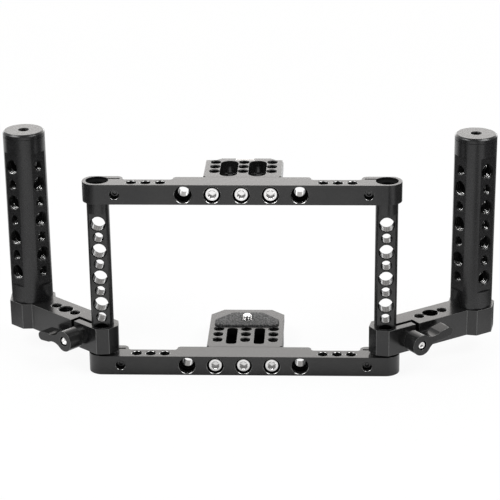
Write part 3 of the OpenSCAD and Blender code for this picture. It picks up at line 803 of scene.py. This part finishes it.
def turned(name, rings, knurl):
    count = lathe["segments"]
    sixth = math.pi / 3
    shape = bmesh.new()
    loops = []
    for radius, z, form in rings:
        loop = []
        for i in range(count):
            turn = 2 * math.pi * i / count
            reach = radius
            if form == "hex":
                reach = radius / math.cos((turn + sixth / 2) % sixth - sixth / 2)
            if form == "knurl" and i % 2:
                reach = radius - knurl
            loop.append(addPoint(shape, reach * math.cos(turn), reach * math.sin(turn), z))
        loops.append(loop)
    bridge(shape, loops)
    shape.faces.new(list(reversed(loops[0])))
    shape.faces.new(loops[-1])
    bmesh.ops.recalc_face_normals(shape, faces=shape.faces)
    shadeByAngle(shape, lathe["sharp"])
    return meshOf(shape, name)


# small forms that the socket screws share: mm, or shares of the shank, brim and socket
screwForm = {
    "tipShare": 0.75, "headChamfer": 0.2, "brimIn": 0.4, "brimDown": 0.35, "socketRim": 0.12,
    "socketChamfer": 0.3, "floorShare": 0.4, "floorDip": 0.05,
}
plateScrew = {
    "shank": 6.35, "long": 17.2, "head": 9.5, "headHigh": 6.35, "socket": 4.76, "socketDeep": 3.2,
    "brim": 0.55, "knurl": 0.1,
}
gripBolt = {**plateScrew, "long": 20.2}
clampScrew = {
    "shank": 3.0, "long": 11.0, "head": 5.5, "headHigh": 3.0, "socket": 2.5, "socketDeep": 1.6,
    "brim": 0.3, "knurl": 0.06,
}
leverScrew = {
    "shank": 3.0, "long": 8.0, "head": 5.5, "headHigh": 2.2, "socket": 2.5, "socketDeep": 1.4,
    "brim": 0.65, "knurl": 0.06,
}


def screwMesh(name, look, form):
    shank, head, high = look["shank"] / 2, look["head"] / 2, look["headHigh"]
    half, brim, floor = look["socket"] / 2, look["brim"], look["headHigh"] - look["socketDeep"]
    rings = [
        (shank * form["tipShare"], -look["long"], "round"),
        (shank, -look["long"] + shank * (1 - form["tipShare"]), "round"),
        (shank, 0, "round"),
        (head - form["headChamfer"], 0, "round"),
        (head, form["headChamfer"], "knurl"),
        (head, high - brim, "knurl"),
        (head - brim * form["brimIn"], high - brim * form["brimDown"], "round"),
        (head - brim, high, "round"),
        (half / math.cos(math.pi / 6) + form["socketRim"], high, "round"),
        (half, high - form["socketChamfer"], "hex"),
        (half, floor, "hex"),
        (half * form["floorShare"], floor - form["floorDip"], "round"),
    ]
    return turned(name, rings, look["knurl"])


def rowTree():
    tree, start, end = startTree("screwRow", {"Count": "Int", "Step": "Vector", "Finish": "Material"})
    row = addNode(tree, "GeometryNodeMeshLine", mode="OFFSET")
    tree.links.new(start.outputs["Count"], row.inputs["Count"])
    tree.links.new(start.outputs["Step"], row.inputs["Offset"])
    place = addNode(tree, "GeometryNodeInstanceOnPoints")
    tree.links.new(row.outputs["Mesh"], place.inputs["Points"])
    tree.links.new(start.outputs["Geometry"], place.inputs["Instance"])
    finishTree(tree, place.outputs["Instances"], start, end)
    return tree


screwRow = rowTree()


def screwsFor(node, look, place, outward, finish, count=1, step=0):
    mesh = screwMesh(node + "Screw", look, screwForm)
    turn = Vector(outward).to_track_quat("Z", "Y").to_matrix().to_4x4()
    mesh.transform(Matrix.Translation(Vector(place) * mm) @ turn)
    finished = grow(node + "Row", mesh, screwRow,
                    {"Count": count, "Step": (step * mm, 0, 0), "Finish": finish})
    setFinish(finished, finish)
    standFor(newPiece(node + "_turned", finished), node)


for word, z in (("bottom", cage["barHeight"] / 2), ("top", cage["top"] - cage["barHeight"] / 2)):
    screwsFor(word + "_plate_screws", plateScrew,
              (-cage["columnPitch"], cage["barFront"] + cage["screwSeat"], z), toFront,
              bright, count=3, step=cage["columnPitch"])
    screwsFor(word + "_clamp_screws", clampScrew,
              (-cage["clampX"], cage["barFront"] + cage["clampSeat"], z), toFront,
              darkScrew, count=2, step=2 * cage["clampX"])
for word, side in sides.items():
    screwsFor(word + "_handle_bolt", gripBolt,
              onArm(side, arm["length"], 0, arm["low"] + arm["boltSeat"]), (0, 0, -1),
              bright)
    screwsFor(word + "_lever_screw", leverScrew,
              onLever(side, arm["width"] / 2 + arm["leverScrewOut"]), ahead(side),
              bright)
print("screws turned")


# monitor screws: a knurled head with a coin slot, a shoulder and a threaded stud
monitorScrew = {
    "head": 6.8, "headHigh": 5.6, "headChamfer": 0.5, "knurl": 0.35, "slotWide": 1.6, "slotDeep": 2.0,
    "shoulder": 3.5, "shoulderHigh": 5.6, "core": 2.72, "tip": 9.3, "tipChamfer": 0.45,
    "threadFrom": 5.4, "threadTo": 8.6, "ridge": 0.45, "ridgeSteps": 28,
}


def slotted(mesh, look, name):
    piece = newPiece(name, mesh)
    shape = bmesh.new()
    bmesh.ops.create_cube(shape, size=1)
    size = Vector((look["head"] * 3, look["slotWide"], look["slotDeep"] * 2)) * mm
    place = Matrix.Translation((0, 0, -look["headHigh"] * mm)) @ Matrix.Diagonal((*size, 1))
    bmesh.ops.transform(shape, verts=shape.verts, matrix=place)
    bar = meshOf(shape, name + "Slot")
    # the slot's faces take the painted shade from the cutter
    setFinish(bar, recessShade)
    cutter = newPiece(name + "Cutter", bar)
    cut = piece.modifiers.new("slot", "BOOLEAN")
    cut.operation = "DIFFERENCE"
    cut.object = cutter
    cut.solver = "EXACT"
    cut.material_mode = "TRANSFER"
    finished = plainMesh(piece, name)
    for spare in (piece, cutter):
        bpy.data.objects.remove(spare)
    return finished


def monitorScrewMesh(name, look):
    head, high, edge = look["head"], look["headHigh"], look["headChamfer"]
    rings = [
        (head - edge, -high, "round"), (head, -high + edge, "knurl"),
        (head, -edge, "knurl"), (head - edge, 0, "round"),
        (look["shoulder"], 0, "round"), (look["shoulder"], look["shoulderHigh"], "round"),
        (look["core"], look["shoulderHigh"], "round"),
        (look["core"], look["tip"] - look["tipChamfer"], "round"),
        (look["core"] - look["tipChamfer"], look["tip"], "round"),
    ]
    blank = turned(name + "Body", rings, look["knurl"])
    setFinish(blank, bright)
    body = slotted(blank, look, name + "Slotted")
    pitch = threads["small"]["Pitch"]
    foot = holePoints(name + "Foot", [(Vector((0, 0, look["threadFrom"])), up)])
    helix = grow(name + "Helix", foot, ridgeTree, {
        "Radius": look["core"] * mm, "Pitch": pitch * mm,
        "Turns": (look["threadTo"] - look["threadFrom"]) / pitch,
        "Ridge": look["ridge"] * mm, "Steps": look["ridgeSteps"], "Finish": bright,
    })
    for face in helix.polygons:
        face.material_index = 0
    joined = joinMeshes(name, [body, helix])
    setFinish(joined, bright, recessShade)
    return joined


for word in ("bottom", "top"):
    mesh = monitorScrewMesh(word + "MonitorScrew", monitorScrew)
    if word == "bottom":
        mesh.transform(Matrix.Translation(Vector((0, cage["studY"], cage["tongueZ"])) * mm))
    else:
        place = Matrix.Translation(Vector((0, cage["studY"], cage["top"] - cage["tongueZ"])) * mm)
        mesh.transform(place @ Matrix.Rotation(math.pi, 4, "X"))
    standFor(newPiece(word + "_monitor_screw_turned", mesh), word + "_monitor_screw")
print("monitor screws turned")


# rubber pads with soft rims
pad = {
    "front": 42.4, "deep": 22.6, "half": 22.5, "backHalf": 10.5, "sideDeep": 9.5, "thick": 1.3,
    "corner": 4.4, "cornerSteps": 6, "rim": 0.55, "rimSteps": 4, "hole": 3.8, "holeSteps": 32, "sharp": 40,
}


def roundedOutline(corners, radius, steps):
    outline = []
    for i, corner in enumerate(corners):
        here = Vector(corner)
        back = (Vector(corners[i - 1]) - here).normalized()
        on = (Vector(corners[(i + 1) % len(corners)]) - here).normalized()
        half = back.angle(on) / 2
        centre = here + (back + on).normalized() * (radius / math.sin(half))
        first = here + back * (radius / math.tan(half)) - centre
        sweep = math.pi - 2 * half
        for k in range(steps + 1):
            turn = sweep * k / steps
            outline.append(centre + Matrix.Rotation(turn, 2) @ first)
    return outline


def padOutline(look, inset):
    half, backHalf = look["half"], look["backHalf"]
    corners = [(-half, 0), (half, 0), (half, look["sideDeep"]), (backHalf, look["deep"]),
               (-backHalf, look["deep"]), (-half, look["sideDeep"])]
    points = roundedOutline(corners, look["corner"], look["cornerSteps"])
    moved = []
    for i, point in enumerate(points):
        way = (points[(i + 1) % len(points)] - points[i - 1]).normalized()
        moved.append(point + inset * Vector((-way.y, way.x)))
    return moved


def padMesh(name, look):
    thick, rim, hole, steps = look["thick"], look["rim"], look["hole"], look["holeSteps"]
    levels = [(0, 0), (0, thick - rim)]
    for k in range(1, look["rimSteps"] + 1):
        turn = math.pi / 2 * k / look["rimSteps"]
        levels.append((rim * (1 - math.cos(turn)), thick - rim * (1 - math.sin(turn))))
    shape = bmesh.new()
    loops = []
    for inset, z in levels:
        outline = padOutline(look, inset)
        loops.append([addPoint(shape, point.x, point.y + look["front"], z) for point in outline])
    bridge(shape, loops)
    turns = [2 * math.pi * i / steps for i in range(steps)]
    mouths = []
    for z in (0, thick):
        mouths.append([addPoint(shape, hole * math.cos(turn), cage["studY"] + hole * math.sin(turn), z)
                       for turn in turns])
    bridge(shape, mouths[::-1])
    for ends in ((loops[0], mouths[0]), (loops[-1], mouths[1])):
        rims = []
        for ring in ends:
            rims += [shape.edges.get((ring[i], ring[(i + 1) % len(ring)])) for i in range(len(ring))]
        bmesh.ops.triangle_fill(shape, edges=rims, use_beauty=True)
    bmesh.ops.recalc_face_normals(shape, faces=shape.faces)
    shadeByAngle(shape, look["sharp"])
    mesh = meshOf(shape, name)
    setFinish(mesh, padRubber)
    return mesh


for word in ("bottom", "top"):
    mesh = padMesh(word + "Pad", pad)
    if word == "bottom":
        mesh.transform(Matrix.Translation((0, 0, cage["barHeight"] * mm)))
    else:
        mesh.transform(Matrix.Translation((0, 0, topLow * mm)) @ Matrix.Diagonal((1, 1, -1, 1)))
        mesh.flip_normals()
    piece = newPiece(word + "_pad_rubber", mesh)
    standFor(piece, word + "_pad")
print("pads laid")


# studio: bright paper under the cage, a sky that is darker in front, and five soft boxes
floorLook = {
    "size": 8.0, "colour": (0.85, 0.85, 0.85), "shadowShare": 0.08,
    # painted contact shade: how the mirrored paper's glow darkens close to the object, less so under the
    # arms
    "contactReach": 0.09, "contactSamples": 8, "contactLeast": 0.05, "contact": (0.35, 1.0),
    "contactSide": (0.07, 0.12),
    # metres where the bright paper fades
    "side": (0.22, 0.34), "lean": 0.6, "left": (-0.4, -0.2), "right": (0.2, 0.36), "end": (0.02, 0.09),
    "back": (0.14, 0.3), "far": 0.05,
    "gapAt": 0.2, "gapReach": (0.02, 0.11), "gapDepth": (-0.25, -0.03), "gapShare": 0.15,
}
worldLook = {
    "front": 0.22, "back": 1.0, "above": 0.5, "lean": -0.35, "fade": (-0.1, 0.5), "rise": (0.3, 0.9),
}
boxes = {
    "backBox": {"place": (0.0, 1.9, 0.95), "size": (3.2, 1.1), "power": 12.5, "colour": (1, 0.955, 0.915)},
    "lowBox": {"place": (0.0, 2.0, 0.28), "size": (3.4, 0.4), "power": 14, "colour": (1, 1, 1)},
    "keyBox": {"place": (-0.1, -0.5, 1.45), "size": (0.9, 0.5), "power": 0.2, "colour": (1, 0.99, 0.98)},
    "leftBox": {"place": (-1.05, -0.4, 1.38), "size": (1.0, 0.8), "power": 17, "colour": (1, 1, 1)},
    "rightBox": {"place": (0.98, -0.4, 1.42), "size": (1.0, 0.8), "power": 17, "colour": (1, 1, 1)},
}
boxAim = (0, 0, 0.08)


def calc(tree, operation, *values):
    node = addNode(tree, "ShaderNodeMath", operation=operation)
    for socket, value in zip(node.inputs, values):
        if isinstance(value, float):
            socket.default_value = value
        else:
            tree.links.new(value, socket)
    return node.outputs[0]


def largest(tree, first, *others):
    for other in others:
        first = calc(tree, "MAXIMUM", first, other)
    return first


def product(tree, first, *others):
    for other in others:
        first = calc(tree, "MULTIPLY", first, other)
    return first


def bareTree(owner):
    owner.use_nodes = True
    owner.node_tree.nodes.clear()
    return owner.node_tree


def placeAxes(tree, kind):
    place = addNode(tree, "ShaderNodeTexCoord")
    split = addNode(tree, "ShaderNodeSeparateXYZ")
    tree.links.new(place.outputs[kind], split.inputs[0])
    return [split.outputs[axis] for axis in "XYZ"]


# the paper's glow as mirrored rays see it: painted light, bright where reflections should be bright and
# fading aside and behind, times painted contact shade near the object
def paperFade(tree, look):
    x, y = placeAxes(tree, "Object")[:2]
    far, aside = look["far"], calc(tree, "ABSOLUTE", x)
    leaning = calc(tree, "MULTIPLY_ADD", y, look["lean"], aside)
    beside = calc(tree, "ABSOLUTE", calc(tree, "SUBTRACT", x, look["gapAt"]))
    gap = product(tree, spread(tree, beside, 1.0, 0.0, *look["gapReach"]),
                  spread(tree, y, 1.0, 0.0, *look["gapDepth"]))
    before = product(tree, spread(tree, leaning, 1.0, far, *look["side"]),
                     spread(tree, x, far, 1.0, *look["left"]),
                     spread(tree, gap, 1.0, look["gapShare"], 0.0, 1.0),
                     spread(tree, y, 1.0, far, *look["end"]))
    behind = product(tree, spread(tree, y, 0.0, 1.0, *look["back"]),
                     spread(tree, x, 1.0, far, *look["right"]))
    near = addNode(tree, "ShaderNodeAmbientOcclusion", samples=look["contactSamples"],
                   Distance=look["contactReach"])
    contact = largest(tree, spread(tree, near.outputs["AO"], look["contactLeast"], 1.0, *look["contact"]),
                      spread(tree, aside, 0.0, 1.0, *look["contactSide"]))
    return product(tree, largest(tree, before, behind), contact)


def addFloor(look):
    mesh = bpy.data.meshes.new("floor")
    half = look["size"] / 2
    corners = [(-half, -half, 0), (half, -half, 0), (half, half, 0), (-half, half, 0)]
    mesh.from_pydata(corners, [], [(0, 1, 2, 3)])
    floor = newPiece("floor", mesh)
    paper = bpy.data.materials.new("floorPaper")
    tree = bareTree(paper)
    out = addNode(tree, "ShaderNodeOutputMaterial")
    path = addNode(tree, "ShaderNodeLightPath")
    seen = largest(tree, *(path.outputs[f"Is {kind} Ray"] for kind in ("Camera", "Glossy", "Transmission")))
    lit = addNode(tree, "ShaderNodeBsdfDiffuse", Color=(*look["colour"], 1))
    glow = addNode(tree, "ShaderNodeEmission", Color=(1, 1, 1, 1))
    strength = largest(tree, path.outputs["Is Camera Ray"], paperFade(tree, look))
    tree.links.new(strength, glow.inputs["Strength"])
    mix = addNode(tree, "ShaderNodeMixShader")
    tree.links.new(product(tree, seen, 1 - look["shadowShare"]), mix.inputs[0])
    tree.links.new(lit.outputs[0], mix.inputs[1])
    tree.links.new(glow.outputs[0], mix.inputs[2])
    tree.links.new(mix.outputs[0], out.inputs[0])
    mesh.materials.append(paper)


def addWorld(look):
    world = bpy.data.worlds.new("studio")
    scene.world = world
    tree = bareTree(world)
    out = addNode(tree, "ShaderNodeOutputWorld")
    x, y, z = placeAxes(tree, "Generated")
    leaning = calc(tree, "MULTIPLY_ADD", x, look["lean"], y)
    depth = spread(tree, leaning, look["front"], look["back"], *look["fade"])
    height = spread(tree, z, 1.0, look["above"], *look["rise"])
    path = addNode(tree, "ShaderNodeLightPath")
    sky = addNode(tree, "ShaderNodeBackground", Color=(1, 1, 1, 1))
    strength = largest(tree, product(tree, depth, height), path.outputs["Is Camera Ray"])
    tree.links.new(strength, sky.inputs["Strength"])
    tree.links.new(sky.outputs[0], out.inputs[0])


def addBox(name, look):
    data = bpy.data.lights.new(name, "AREA")
    data.shape = "RECTANGLE"
    data.size, data.size_y = look["size"]
    data.energy = look["power"]
    data.color = look["colour"]
    lamp = bpy.data.objects.new(name, data)
    scene.collection.objects.link(lamp)
    lamp.location = look["place"]
    aim = Vector(boxAim) - lamp.location
    lamp.rotation_euler = aim.to_track_quat("-Z", "Y").to_euler()
    lamp.visible_camera = False


addFloor(floorLook)
addWorld(worldLook)
for name, look in boxes.items():
    addBox(name, look)
print("studio lit")
